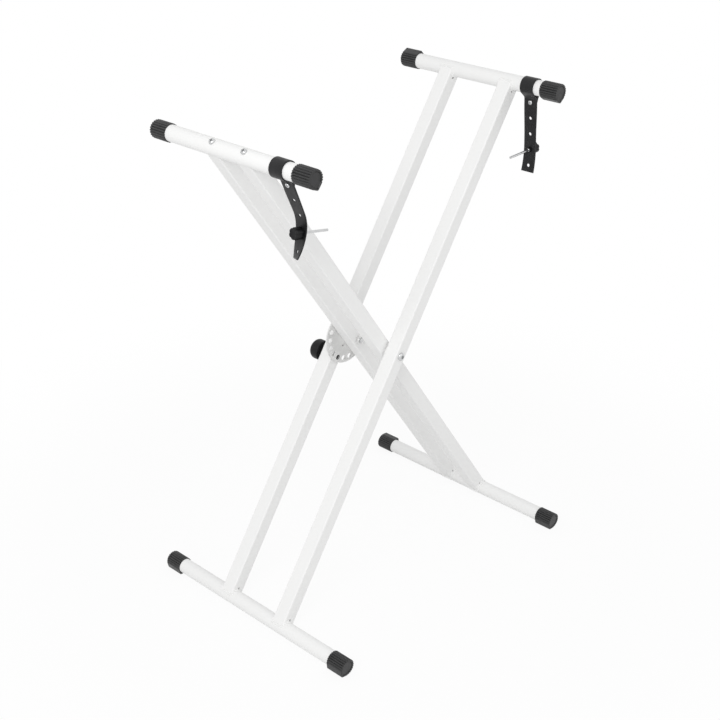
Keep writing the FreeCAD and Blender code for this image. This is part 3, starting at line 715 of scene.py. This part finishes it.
class STAND_OT_welds(bpy.types.Operator):
    """Lay the weld beads where the legs meet the bars"""

    bl_idname = "stand.welds"
    bl_label = "Weld beads"

    def execute(self, context):
        sizes = setting("stand_fittings")
        low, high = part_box("outer_leg_front")
        for side, bars in (("outer", ("foot", "top")), ("inner", ("foot",))):
            mesh = bmesh.new()
            for bar in bars:
                for end in ("front", "rear"):
                    leg_y = middle(f"{side}_leg_{end}").y
                    weld_ring(mesh, f"{side}_{bar}_bar", leg_y, high.y - low.y, sizes)
            body = f"{side}_frame"
            new_piece(f"{body}_welds", mesh, body, powder_coat)
        return {"FINISHED"}


# End caps
class CapPlace:
    """Where one cap sits: its bar's axis, its ends and its corner, read from the solids."""

    def __init__(self, bar, caps, way):
        self.x, self.z = bar_axis(bar)
        self.bar_radius = bar_radius(bar)
        spots = [vert.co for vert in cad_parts[caps].data.vertices if vert.co.y * way > 0]
        self.mouth = min(spots, key=lambda spot: spot.y * way).y
        self.end = max(spots, key=lambda spot: spot.y * way).y
        corner = max(spots, key=lambda spot: hypot(spot.x - self.x, spot.z - self.z))
        self.corner_turn = atan2(corner.z - self.z, corner.x - self.x)
        self.corner_reach = hypot(corner.x - self.x, corner.z - self.z)

    def from_corner(self, turn):
        """A turn as its distance from the corner, up to half a turn."""
        return abs(wrapped(turn - self.corner_turn, FULL_TURN))

    def outline(self, turn, radius, soft):
        """The reach of a round with the corner drawn out of it, at a turn."""
        half = acos(radius / self.corner_reach)
        off = hypot(self.from_corner(turn), soft)
        return radius / cos(max(0.0, half - off))


def groove_share(sizes, off):
    """How deep the ribs' outline dips at a turn from the corner: one in a groove, zero on a rib."""
    pitch = (HALF_TURN - sizes.groove_start) * 2 / (sizes.grooves - 1)
    step = (off - sizes.groove_start) / pitch
    if step < -0.5:
        return 0.0
    return 1 - abs(sin(HALF_TURN * step))


def cap_rings(sizes, place):
    """The rings of one cap, from the bottom of its bore, over its mouth and ribs to its end."""
    bore = place.bar_radius + sizes.fit
    outer = place.bar_radius + sizes.wall
    size = abs(place.end - place.mouth)
    way = copysign(1, place.end)
    turns = round_turns(CAP_STEPS)

    def ring(height, reaches):
        y = place.mouth + way * height
        return [
            Vector((place.x + reach * cos(turn), y, place.z + reach * sin(turn)))
            for reach, turn in zip(reaches, turns)
        ]

    outline = [
        place.outline(turn, outer, sizes.corner_round)
        - sizes.groove_depth * groove_share(sizes, place.from_corner(turn))
        for turn in turns
    ]
    rim = sizes.edge_round + sizes.dish_rim
    floor = size - sizes.dish_depth
    levels = [
        (sizes.lip, 0.0), (0.0, sizes.lip), (0.0, size / 2), (0.0, size - sizes.edge_round),
        *edge_levels(size, sizes.edge_round, EDGE_STEPS),
        (rim, size), (rim + sizes.dish_depth / 2, floor), (outer / 2, floor),
    ]
    inside = ((size - sizes.end, bore), (sizes.lip, bore), (0.0, bore + sizes.lip / 2))
    rings = [ring(height, [reach] * CAP_STEPS) for height, reach in inside]
    return rings + [ring(height, [reach - inset for reach in outline]) for inset, height in levels]


class STAND_OT_end_caps(bpy.types.Operator):
    """Build the ribbed caps on the ends of the bars"""

    bl_idname = "stand.end_caps"
    bl_label = "End caps"

    def execute(self, context):
        sizes = setting("stand_caps")
        for side in ("outer", "inner"):
            for end in ("foot", "top"):
                caps = f"{side}_{end}_caps"
                mesh = bmesh.new()
                for way in (FRONT, REAR):
                    loft(cap_rings(sizes, CapPlace(f"{side}_{end}_bar", caps, way)), mesh=mesh)
                new_piece(f"{side}_{end}_ribbed_caps", mesh, f"{side}_frame", cap_rubber, [caps])
        return {"FINISHED"}


# Pivot
class STAND_OT_pivot(bpy.types.Operator):
    """Build the domed pivot bolts and their nuts, and finish the washers"""

    bl_idname = "stand.pivot"
    bl_label = "Pivot bolts"

    def execute(self, context):
        sizes = setting("stand_fittings")
        pivot = pivot_place()
        leg_face = abs(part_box("outer_leg_front")[0].y)
        nut_face = abs(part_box("pivot_nuts")[0].y)
        head = abs(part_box("pivot_bolts")[0].y) - leg_face
        reach = leg_face - nut_face + sizes.nut_height + sizes.bolt_tip
        radius = sizes.bolt_head / 2
        shank = sizes.bolt_width / 2
        dome = head - sizes.bolt_rim
        profile = [
            (shank - sizes.tip_chamfer, -reach), (shank, sizes.tip_chamfer - reach),
            (shank, 0), (radius, 0),
        ]
        for step in range(DOME_STEPS):
            turn = QUARTER_TURN * step / DOME_STEPS
            profile.append((radius * cos(turn), sizes.bolt_rim + dome * sin(turn)))
        depth = sizes.socket_depth
        bore = sizes.bolt_width + sizes.thread_play * 2
        bolts = []
        nuts = bmesh.new()
        for way in (FRONT, REAR):
            place = along((0, way, 0), (pivot.x, way * leg_face, pivot.z))
            bolt = turned(profile, place, FINE_STEPS)
            socket = hexagon_prism(place, sizes.socket_width, head - depth, head + depth)
            bolts.append(cut(finished_mesh(bolt, "pivot_bolt"), finished_mesh(socket, "socket")))
            seat = along((0, -way, 0), (pivot.x, way * nut_face, pivot.z))
            hexagon_nut(seat, sizes.nut_width, sizes.nut_height, bore, nuts)
        new_piece("pivot_domed_bolts", joined(bolts), "outer_frame", bright_plate, ["pivot_bolts"])
        new_piece("pivot_hex_nuts", nuts, "outer_frame", zinc_plate, ["pivot_nuts"])
        coat_node("pivot_washers", zinc_plate)
        return {"FINISHED"}


# Lock
class STAND_OT_lock(bpy.types.Operator):
    """Finish the disc, guide, pin and spring of the lock, and build its knob"""

    bl_idname = "stand.lock"
    bl_label = "Lock"

    def execute(self, context):
        sizes = setting("stand_fittings")
        for part in ("disc", "guide"):
            coat_node(f"lock_{part}", zinc_plate)
        for part in ("pin", "spring"):
            coat_node(f"lock_{part}", bright_plate)
        low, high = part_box("lock_knob")
        centre = middle("lock_knob")
        radius = (high.x - low.x) / 2
        height = high.y - low.y
        dish = radius - sizes.knob_round - sizes.knob_dish
        profile = [
            (radius / 2, 0),
            *rounded((0, 0), (radius, 0), (radius, height), sizes.knob_base_round),
            *rounded((radius, 0), (radius, height), (0, height), sizes.knob_round, DOME_STEPS),
            (dish, height - sizes.knob_dish), (dish / 2, height - sizes.knob_dish),
        ]
        knob = turned(profile, along((0, 1, 0), (centre.x, low.y, centre.z)), FINE_STEPS)
        new_piece("lock_domed_knob", knob, "lock_plunger", knob_plastic, ["lock_knob"])
        return {"FINISHED"}


# Screws of the inner top bar
class STAND_OT_bar_screws(bpy.types.Operator):
    """Build the screws that hold the inner top bar, and finish the inserts that take them"""

    bl_idname = "stand.bar_screws"
    bl_label = "Top bar screws"

    def execute(self, context):
        sizes = setting("stand_fittings")
        x, z = bar_axis("inner_top_bar")
        out = (Vector((x, 0, z)) - pivot_place()).normalized()
        radius = bar_radius("inner_top_bar")
        screws = []
        for end in ("front", "rear"):
            seat = Vector((x, middle(f"inner_leg_{end}").y, z)) + out * radius
            screws.append(pan_head_screw(
                along(out, seat), sizes.bar_screw_head, sizes.bar_screw_height, sizes.bar_screw_shank,
                radius * BAR_SCREW_REACH,
            ))
        name = "top_bar_pan_screws"
        new_piece(name, joined(screws), "inner_frame", bright_plate, ["top_bar_screws"])
        coat_node("leg_inserts", zinc_plate)
        return {"FINISHED"}


# Straps
class StrapLine:
    """A strap's middle line in its side view, from its short end, round the bar, to its tail."""

    def __init__(self, sizes, side):
        bar = {"left": "inner_top_bar", "right": "outer_top_bar"}[side]
        self.x, self.z = bar_axis(bar)
        self.y = middle(f"strap_{side}").y
        self.lean = Matrix.Rotation(getattr(sizes, f"{side}_lean"), 2)
        self.twist = getattr(sizes, f"{side}_twist")
        self.bend = getattr(sizes, f"{side}_bend")
        straight = getattr(sizes, f"{side}_straight")
        end_bend = getattr(sizes, f"{side}_end_bend")
        band = sizes.thickness
        half = band / 2
        loop_in = bar_radius(bar) + sizes.fit
        loop = loop_in + half
        sine = loop_in / (loop_in + sizes.throat)
        cosine = sqrt(1 - sine * sine)
        lap = asin(sine)
        neck = sizes.neck_round + half
        neck_x = sizes.neck_round + band
        self.neck_end = (loop_in + band - band * cosine + sizes.neck_round * (1 - cosine)) / sine
        self.screw_at = self.neck_end + sizes.screw_width / 2 + sizes.fit
        short_end = self.screw_at + sizes.short_end
        thumb = self.screw_at + sizes.hole_pitch * setting("stand_fittings").thumb_hole
        tail_end = self.screw_at + sizes.hole_pitch * sizes.holes + sizes.margin
        self.runs = []
        self.total = 0.0
        self.line((half, -short_end), (half, -self.neck_end))
        self.arc((neck_x, -self.neck_end), neck, HALF_TURN, -lap)
        tangent = (neck_x - neck * cosine, neck * sine - self.neck_end)
        self.line(tangent, (loop * cosine, -loop * sine))
        self.arc((0, 0), loop, -lap, HALF_TURN + lap * 2)
        self.line((-loop * cosine, -loop * sine), (-tangent[0], tangent[1]))
        self.arc((-neck_x, -self.neck_end), neck, lap, -lap)
        self.tail_start = self.total
        self.line((-half, -self.neck_end), (-half, -straight))
        swing = -(thumb - straight) / self.bend
        centre = Vector((-half - self.bend, -straight))
        self.arc(centre, self.bend, 0.0, swing)
        centre += direction(swing) * (self.bend - end_bend)
        self.arc(centre, end_bend, swing, -(tail_end - thumb) / end_bend)
        self.thumb_at = self.tail(thumb)
        self.waist_from = self.tail(short_end)

    def line(self, start, end):
        start, end = Vector(start), Vector(end)
        size = (end - start).length
        self.runs.append((self.total, size, "line", (start, (end - start) / size)))
        self.total += size

    def arc(self, centre, radius, start, sweep):
        size = abs(sweep) * radius
        self.runs.append((self.total, size, "arc", (Vector(centre), radius, start, sweep)))
        self.total += size

    def spot(self, distance, off=0.0):
        """A point of the side view, off the middle line to its outside, and the outward way there."""
        at, size, kind, facts = next(
            (run for run in self.runs if distance <= run[0] + run[1]), self.runs[-1]
        )
        if kind == "line":
            start, run = facts
            point = start + run * (distance - at)
        else:
            centre, radius, start, sweep = facts
            turn = start + sweep * (distance - at) / size
            point = centre + direction(turn) * radius
            run = direction(turn + copysign(QUARTER_TURN, sweep))
        out = Vector((run.y, -run.x))
        return point + out * off, out

    def tail(self, from_bar):
        """The distance along the line of a point that is so far from the bar's axis, down the tail."""
        return self.tail_start + from_bar - self.neck_end

    def past_waist(self, distance):
        """The share of the tail below the short end that a distance has passed."""
        return max(0.0, (distance - self.waist_from) / (self.total - self.waist_from))

    def world(self, distance, across, off):
        """A point of the band. Its twist is slight down to the thumbscrew and grows past it."""
        twist = self.twist * self.past_waist(distance) ** TWIST_POWER
        flat, raised = Matrix.Rotation(twist, 2) @ Vector((across, off))
        point = self.lean @ self.spot(distance, raised)[0]
        return Vector((self.x + point.x, self.y + flat, self.z + point.y))

    def out_of(self, distance):
        """The outward way of the band, in the frame."""
        out = self.lean @ self.spot(distance)[1]
        return Vector((out.x, 0, out.y))


def strap_half_width(sizes, line, distance):
    """Half the band's width: narrow at the short end, full round the bar, waisted along the tail."""
    if distance < sizes.short_end * 2:
        ease = sin(QUARTER_TURN * distance / sizes.short_end / 2)
        return (sizes.short_width + (sizes.loop_width - sizes.short_width) * ease) / 2
    part = line.past_waist(distance)
    ease = min(1.0, part / WAIST_AT)
    ease = ease * ease * (3 - 2 * ease)
    width = sizes.loop_width + (sizes.waist_width - sizes.loop_width) * ease
    back = max(0.0, (part - WAIST_AT) / (1 - WAIST_AT))
    width += (sizes.end_width - sizes.waist_width) * back * back
    return width / 2


def strap_mesh(sizes, line):
    """The band laid flat with its holes, thickened, rounded at its edges, then laid along its line."""
    screw_radius = sizes.screw_shank / 2 + sizes.fit
    holes = [(sizes.short_end, screw_radius), (line.tail(line.screw_at), screw_radius)]
    holes += [
        (line.tail(line.screw_at + sizes.hole_pitch * hole), sizes.hole_width / 2)
        for hole in range(1, sizes.holes + 1)
    ]
    mesh = bmesh.new()

    def spot(distance, part):
        return mesh.verts.new((distance, part * strap_half_width(sizes, line, distance), 0))

    def row(distance):
        return [spot(distance, 2 * column / STRAP_COLUMNS - 1) for column in range(STRAP_COLUMNS + 1)]

    def plain(start, end, last):
        """Rows of faces between two distances, from the last row on."""
        steps = max(1, round((end - start) / STRAP_ROW))
        for step in range(1, steps + 1):
            now = row(start + (end - start) * step / steps)
            for column in range(STRAP_COLUMNS):
                mesh.faces.new((last[column], last[column + 1], now[column + 1], now[column]))
            last = now
        return last

    last = row(0.0)
    reached = 0.0
    for centre, radius in holes:
        near = centre - HOLE_PATCH
        last = plain(reached, near, last)
        reached = centre + HOLE_PATCH
        far = row(reached)
        inner_steps = range(1, STRAP_COLUMNS)
        right, left = (
            [spot(near + 2 * HOLE_PATCH * step / STRAP_COLUMNS, part) for step in inner_steps]
            for part in (1, -1)
        )
        border = last + right + far[::-1] + left[::-1]
        first_turn = atan2(border[0].co.y, border[0].co.x - centre)
        rim = [
            Vector((centre + radius * cos(first_turn - turn), radius * sin(first_turn - turn), 0))
            for turn in round_turns(len(border))
        ]
        outer = border
        for part in HOLE_RINGS:
            inner = [mesh.verts.new(vert.co.lerp(goal, part)) for vert, goal in zip(border, rim)]
            for index in range(len(border)):
                beside = (index + 1) % len(border)
                mesh.faces.new((outer[index], outer[beside], inner[beside], inner[index]))
            outer = inner
        last = far
    plain(reached, line.total, last)
    bmesh.ops.recalc_face_normals(mesh, faces=mesh.faces)
    lifted = set(bmesh.ops.extrude_face_region(mesh, geom=list(mesh.faces))["geom"])
    for vert in mesh.verts:
        vert.co.z = sizes.thickness / 2 if vert in lifted else -sizes.thickness / 2
    bmesh.ops.recalc_face_normals(mesh, faces=mesh.faces)
    mesh.normal_update()
    sharp = [
        edge for edge in mesh.edges if edge.is_manifold and edge.calc_face_angle() > BAND_EDGE_ANGLE
    ]
    bmesh.ops.bevel(
        mesh, geom=sharp, offset=sizes.edge_round, segments=BAND_EDGE_STEPS, profile=0.5,
        affect="EDGES", clamp_overlap=True,
    )
    for vert in mesh.verts:
        vert.co = line.world(*vert.co)
    return mesh


class STAND_OT_straps(bpy.types.Operator):
    """Build the two straps, with the screws and nuts that close them"""

    bl_idname = "stand.straps"
    bl_label = "Straps"

    def execute(self, context):
        sizes = setting("stand_straps")
        bore = sizes.screw_shank + setting("stand_fittings").thread_play * 2
        layers = sizes.thickness * 2
        for side in ("left", "right"):
            line = StrapLine(sizes, side)
            body = f"strap_{side}"
            new_piece(f"{body}_band", strap_mesh(sizes, line), body, strap_rubber, [body])
            hole = line.tail(line.screw_at)
            out = line.out_of(hole)
            seat = line.world(hole, 0, sizes.thickness / 2)
            screw = pan_head_screw(
                along(out, seat), sizes.screw_width, sizes.screw_height, sizes.screw_shank,
                layers + sizes.nut_height + sizes.screw_tip,
            )
            new_piece(f"{body}_pan_screw", screw, body, bright_plate, [f"strap_screw_{side}"])
            nut_seat = along(-out, seat - out * layers)
            nut = hexagon_nut(nut_seat, sizes.nut_width, sizes.nut_height, bore)
            new_piece(f"{body}_hex_nut", nut, body, zinc_plate, [f"strap_nut_{side}"])
        return {"FINISHED"}


# Thumbscrews
def flute_dip(turn, sizes):
    """How far a thumb knob's outline dips into a flute, at a turn."""
    radius = sizes.thumb_width / 2
    flute = sizes.thumb_flute / 2
    centre = radius - sizes.thumb_flute_depth + flute
    off = wrapped(turn, FULL_TURN / sizes.thumb_flutes)
    inside = flute ** 2 - (centre * sin(off)) ** 2
    if inside <= 0:
        return 0.0
    return max(0.0, radius - centre * cos(off) + sqrt(inside))


def thumb_knob(place, sizes):
    """A knob from the origin along local Z, fluted, rounded at both ends and dished on its far face."""
    radius = sizes.thumb_width / 2
    height = sizes.thumb_height
    edge = sizes.thumb_round
    levels = [
        (edge * KNOB_FOOT, 0.0), (edge * KNOB_FOOT_ROUND, edge * KNOB_FOOT_ROUND),
        (0.0, edge * KNOB_FOOT), (0.0, height - edge),
        *edge_levels(height, edge, KNOB_EDGE_STEPS),
        (radius * KNOB_DISH_RIM, height), (radius * KNOB_DISH_FLOOR, height - edge * KNOB_DISH_DEPTH),
    ]
    turns = round_turns(sizes.thumb_flutes * FLUTE_STEPS)
    rings = []
    for inset, level in levels:
        fade = max(0.0, 1 - inset / radius * FLUTE_FADE)
        rings.append([
            at_turn(place, turn, radius - flute_dip(turn, sizes) * fade - inset, level)
            for turn in turns
        ])
    return loft(rings)


class STAND_OT_thumbscrews(bpy.types.Operator):
    """Build the knobs and collars of the thumbscrews, and finish their rods"""

    bl_idname = "stand.thumbscrews"
    bl_label = "Thumbscrews"

    def execute(self, context):
        straps = setting("stand_straps")
        sizes = setting("stand_fittings")
        bore = sizes.rod_root / 2 + sizes.thread_play
        ring = bore + sizes.collar_wall
        soft = sizes.collar_wall * COLLAR_ROUND
        end = sizes.collar_length
        collar_profile = [
            (bore, 0), (ring - soft, 0), (ring, soft),
            (ring, end - soft), (ring - soft, end), (bore, end),
        ]
        face = straps.thickness / 2 + sizes.thumb_play
        for side, way in (("left", 1), ("right", -1)):
            line = StrapLine(straps, side)
            out = line.out_of(line.thumb_at) * way
            hole = line.world(line.thumb_at, 0, 0)
            bow = (sizes.thumb_width / 2) ** 2 / (line.bend * 2 - straps.thickness)
            body = f"thumbscrew_{side}"
            knob = thumb_knob(along(out, hole + out * (face + bow)), sizes)
            new_piece(f"thumb_{side}_fluted_knob", knob, body, knob_plastic, [f"thumb_knob_{side}"])
            collar = turned(collar_profile, along(-out, hole - out * face), COLLAR_STEPS, closed=True)
            name = f"thumb_{side}_round_collar"
            new_piece(name, collar, body, knob_plastic, [f"thumb_collar_{side}"])
            coat_node(f"thumb_rod_{side}", bright_plate)
        return {"FINISHED"}


# Stage
def seen_directly(tree):
    """A field that is one for rays from the camera, a mirror or clear glass, and else zero."""
    rays = add_node(tree, "LightPath", {}).outputs
    total = rays["Is Camera Ray"]
    for name in ("Is Glossy Ray", "Is Transmission Ray"):
        total = add_node(tree, "Math", {0: total, 1: rays[name]}, operation="MAXIMUM").outputs["Value"]
    return total


class STAND_OT_stage(bpy.types.Operator):
    """Set the camera, the lamps, the white surround and the pale floor"""

    bl_idname = "stand.stage"
    bl_label = "Stage"

    def execute(self, context):
        stage = setting("stand_stage")
        context.scene.view_settings.view_transform = "Standard"
        context.scene.camera = self.add_camera(stage)
        context.scene.world = self.white_surround(stage)
        self.add_lamp("key_lamp", stage.key_place, stage.key_size, stage.key, stage.lamp_aim)
        self.add_lamp("fill_lamp", stage.fill_place, stage.fill_size, stage.fill, stage.lamp_aim)
        self.add_floor(stage)
        return {"FINISHED"}

    def add_camera(self, stage):
        data = bpy.data.cameras.new("stand_camera")
        data.lens = stage.camera_lens
        data.sensor_width = SENSOR_WIDTH
        turn, rise = stage.camera_azimuth, stage.camera_elevation
        level = cos(rise)
        back = Vector((sin(turn) * level, -cos(turn) * level, sin(rise)))
        right = Matrix.Rotation(stage.camera_roll, 3, back) @ Vector((cos(turn), sin(turn), 0))
        axes = Matrix((right, back.cross(right), back)).transposed().to_4x4()
        return put("stand_camera", data, Matrix.Translation(stage.camera_place) @ axes)

    def white_surround(self, stage):
        """A world that looks white and lights the stand with the ambient strength."""
        world = bpy.data.worlds.new("white_surround")
        world.use_nodes = True
        tree = world.node_tree
        strength = add_node(tree, "MapRange", {
            "Value": seen_directly(tree), "To Min": stage.ambient, "To Max": 1.0,
        })
        inputs = {"Color": (1, 1, 1, 1), "Strength": strength.outputs["Result"]}
        set_inputs(tree, tree.nodes["Background"], inputs)
        return world

    def add_lamp(self, name, place, size, watts, aim):
        data = bpy.data.lights.new(name, "AREA")
        data.shape = "DISK"
        data.size = size
        data.energy = watts
        turn = (Vector(aim) - Vector(place)).to_track_quat("-Z", "Y").to_matrix().to_4x4()
        put(name, data, Matrix.Translation(place) @ turn)

    def add_floor(self, stage):
        """A floor that shows part of the stand's shadow and fades to white further out."""
        mesh = bmesh.new()
        bmesh.ops.create_circle(mesh, cap_ends=True, radius=stage.floor_radius, segments=FINE_STEPS)
        place = Matrix.Translation((0, 0, -stage.floor_drop))
        floor = put("pale_floor", finished_mesh(mesh, "pale_floor"), place)
        material = bpy.data.materials.new("pale_floor")
        material.use_nodes = True
        tree = material.node_tree
        shader = node_of(tree, "BSDF_PRINCIPLED")
        set_inputs(tree, shader, {
            "Base Color": (*stage.floor, 1), "Roughness": FLOOR_ROUGHNESS, "Specular IOR Level": 0.0,
        })
        spot = add_node(tree, "TexCoord", {}).outputs["Object"]
        reach = add_node(tree, "VectorMath", {0: spot}, operation="LENGTH").outputs["Value"]
        fade = add_node(tree, "MapRange", {
            "Value": reach, "From Min": stage.shadow_full, "From Max": stage.shadow_end,
            "To Min": 1 - stage.floor_shadow, "To Max": 1.0,
        }, interpolation_type="SMOOTHSTEP").outputs["Result"]
        white = add_node(tree, "Math", {0: seen_directly(tree), 1: fade}, operation="MULTIPLY")
        glow = add_node(tree, "Emission", {}).outputs["Emission"]
        mix = add_node(tree, "MixShader", {
            "Fac": white.outputs["Value"], 1: shader.outputs["BSDF"], 2: glow,
        })
        set_inputs(tree, node_of(tree, "OUTPUT_MATERIAL"), {"Surface": mix.outputs["Shader"]})
        floor.data.materials.append(material)


OPERATORS = (
    STAND_OT_tubes,
    STAND_OT_welds,
    STAND_OT_end_caps,
    STAND_OT_pivot,
    STAND_OT_lock,
    STAND_OT_bar_screws,
    STAND_OT_straps,
    STAND_OT_thumbscrews,
    STAND_OT_stage,
)


class STAND_PT_pieces(bpy.types.Panel):
    """Lists the pieces of the stand and their sizes"""

    bl_idname = "STAND_PT_pieces"
    bl_label = "Keyboard stand"
    bl_space_type = "VIEW_3D"
    bl_region_type = "UI"
    bl_category = "Stand"

    def draw(self, context):
        for operator in OPERATORS:
            self.layout.operator(operator.bl_idname)
        for name, group in SETTINGS.items():
            box = self.layout.box()
            box.label(text=group.__doc__)
            for label in group.__annotations__:
                box.prop(getattr(context.scene, name), label)


CLASSES = (*SETTINGS.values(), *OPERATORS, STAND_PT_pieces)


def register():
    for item in CLASSES:
        bpy.utils.register_class(item)
    for name, group in SETTINGS.items():
        setattr(bpy.types.Scene, name, PointerProperty(type=group))


def unregister():
    for name in SETTINGS:
        delattr(bpy.types.Scene, name)
    for item in reversed(CLASSES):
        bpy.utils.unregister_class(item)


def main():
    register()
    for operator in OPERATORS:
        getattr(bpy.ops.stand, operator.bl_idname.removeprefix("stand."))()


if __name__ == "__main__":
    main()
